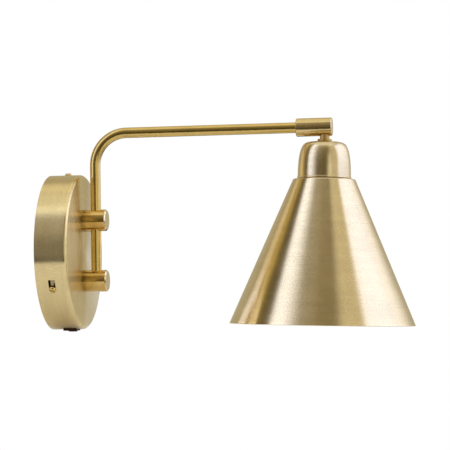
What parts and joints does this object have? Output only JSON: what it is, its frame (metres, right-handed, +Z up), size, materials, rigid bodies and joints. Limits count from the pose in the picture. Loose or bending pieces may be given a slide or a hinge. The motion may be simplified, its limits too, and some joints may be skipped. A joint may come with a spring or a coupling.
{
  "type": "swing-arm wall sconce",
  "caption": "Wall sconce: round canopy with posts that carry a bent tube arm, from whose end a cone shade hangs under a bell cap; the arm swings and the shade tilts.",
  "frame": {"origin": "centre of the canopy's back, on the wall", "axes": "+X straight out of the wall, +Z up"},
  "size_m": [0.2811, 0.1422, 0.1609],
  "materials": {
    "satin_brass": "satin, brushed and spun, clear lacquered",
    "yellow_zinc_steel": "yellow zinc plated sheet",
    "zinc_steel": "bright zinc plated",
    "contact_brass": "plain stamped brass",
    "switch_plastic": "dark moulded plastic",
    "holder_plastic": "black moulded thermoset",
    "nylon": "natural nylon",
    "bush_rubber": "black rubber",
    "cable_sheath": "soft sheathed cable",
    "nickel": "nickel plated",
    "opal_glass": "opal white"
  },
  "bodies": {
    "wall_side": {"wall_bracket": "yellow_zinc_steel", "cable_bush": "bush_rubber", "canopy_cover": "satin_brass", "canopy_screw_1": "satin_brass", "canopy_screw_2": "satin_brass", "canopy_screw_3": "satin_brass", "upper_post": "satin_brass", "lower_post": "satin_brass", "upper_post_washer": "zinc_steel", "lower_post_washer": "zinc_steel", "upper_post_nut": "zinc_steel", "lower_post_nut": "zinc_steel", "thrust_washer": "nylon", "arm_friction_screw": "zinc_steel", "terminal_block": "nylon", "clamp_screw_1": "zinc_steel", "clamp_screw_2": "zinc_steel", "clamp_screw_3": "zinc_steel", "clamp_screw_4": "zinc_steel", "clamp_screw_5": "zinc_steel", "clamp_screw_6": "zinc_steel", "block_screw": "zinc_steel", "earth_screw": "contact_brass", "canopy_cable": "cable_sheath", "switch_housing": "switch_plastic", "switch_lug_1": "contact_brass", "switch_lug_2": "contact_brass", "switch_wire_1": "cable_sheath", "switch_wire_2": "cable_sheath"},
    "rocker": {"switch_rocker": "switch_plastic"},
    "arm": {"arm_tube": "satin_brass", "arm_cable": "cable_sheath"},
    "head": {"head_sleeve": "satin_brass", "sleeve_friction_screw": "zinc_steel", "head_stem": "satin_brass", "stem_collar": "satin_brass", "socket_cap": "satin_brass", "stem_nut": "zinc_steel", "lampholder_top": "holder_plastic", "lampholder_body": "holder_plastic", "lampholder_shell": "contact_brass", "lampholder_contact": "contact_brass", "shade_cone": "satin_brass", "shade_ring": "holder_plastic", "bulb_base": "nickel", "bulb_glass": "opal_glass", "head_cable": "cable_sheath"}
  },
  "joints": [
    {"name": "arm_swing", "type": "hinge", "parent": "wall_side", "child": "arm", "pos_m": [0.03405, 0, 0.0009], "axis": [0, 0, 1], "range_deg": [-70, 70]},
    {"name": "head_tilt", "type": "hinge", "parent": "arm", "child": "head", "pos_m": [0.19845, 0, 0.0921], "axis": [1, 0, 0], "range_deg": [-30, 30]},
    {"name": "switch_rock", "type": "hinge", "parent": "wall_side", "child": "rocker", "pos_m": [0.0138, 0, -0.06], "axis": [1, 0, 0], "range_deg": [0, 11]}
  ]
}
